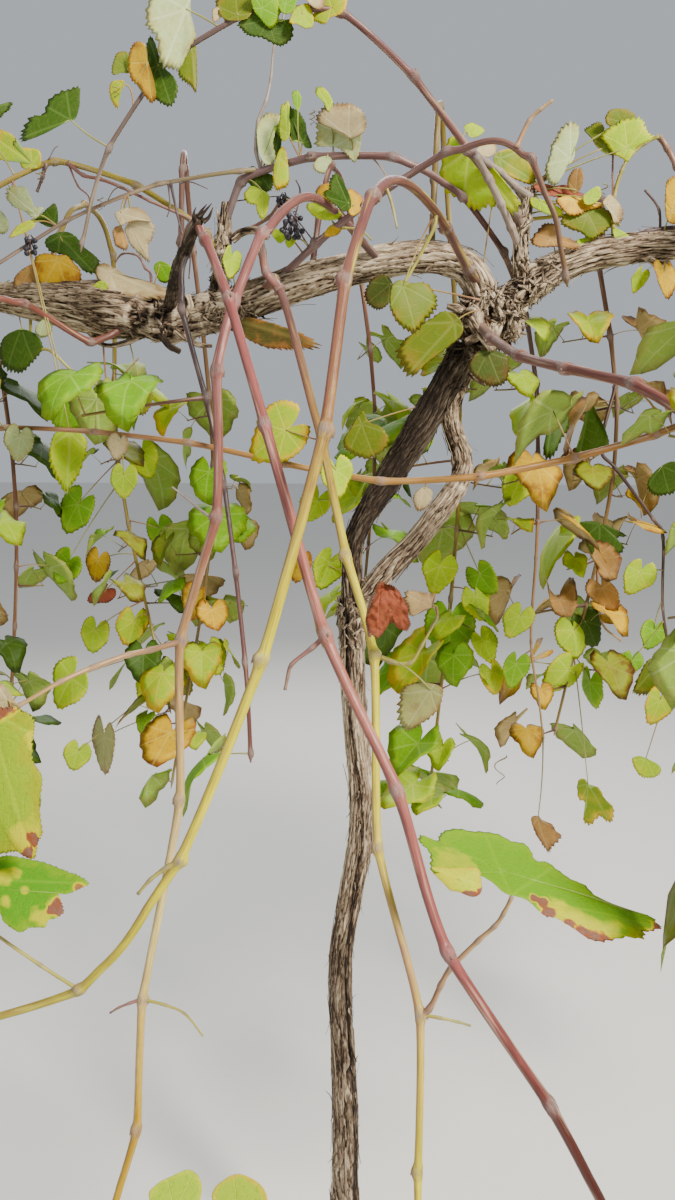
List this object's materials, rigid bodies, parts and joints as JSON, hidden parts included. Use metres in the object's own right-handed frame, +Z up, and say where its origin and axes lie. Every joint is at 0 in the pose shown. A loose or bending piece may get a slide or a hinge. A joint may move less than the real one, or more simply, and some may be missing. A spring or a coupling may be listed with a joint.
{
  "type": "grapevine",
  "caption": "Grapevine on a high cordon: forked trunk, knotted head, arms of old wood, and long canes that arch and hang with early autumn leaves.",
  "frame": {"origin": "middle of the trunk's flat cut at ground level", "axes": "+Z up the trunk, +X along the row and the arms, -Y towards the side where the long canes hang forwards"},
  "size_m": [2.3417, 1.1587, 1.9613],
  "materials": {
    "bark": "grey-brown fibrous bark that peels in long strips",
    "cane": "smooth one-year cane, mahogany red to olive yellow, satin",
    "leaves": "thin leaf, yellow-green with yellow and brown edges, slightly waxy"
  },
  "bodies": {
    "root": {"arm_left_arch": "bark", "arm_left_end": "bark", "arm_right": "bark", "head": "bark", "leaves_back_10": "leaves", "leaves_back_11": "leaves", "leaves_back_12": "leaves", "leaves_back_13": "leaves", "leaves_back_14": "leaves", "leaves_back_15": "leaves", "leaves_back_16": "leaves", "leaves_back_17": "leaves", "leaves_back_6": "leaves", "leaves_back_7": "leaves", "leaves_back_8": "leaves", "leaves_back_9": "leaves", "leaves_cross_arch": "leaves", "leaves_dark_thin": "leaves", "leaves_front_1": "leaves", "leaves_front_2": "leaves", "leaves_front_3": "leaves", "leaves_front_4": "leaves", "leaves_front_5": "leaves", "leaves_green_middle": "leaves", "leaves_left_arch": "leaves", "leaves_left_red": "leaves", "leaves_red_front": "leaves", "leaves_red_left": "leaves", "leaves_right_red": "leaves", "leaves_sagging": "leaves", "leaves_sky_arch": "leaves", "leaves_thin_left": "leaves", "leaves_yellow_left": "leaves", "leaves_yellow_long": "leaves", "limb_cross_arch": "cane", "limb_green_middle": "cane", "limb_left_arch": "cane", "limb_left_red": "cane", "limb_red_front": "cane", "limb_red_left": "cane", "limb_right_red": "cane", "limb_sagging": "cane", "limb_sky_arch": "cane", "limb_yellow_left": "cane", "limb_yellow_long": "cane", "spur_left": "bark", "spur_right": "bark", "stem_left": "bark", "stem_right": "bark", "trunk": "bark"}
  },
  "joints": []
}
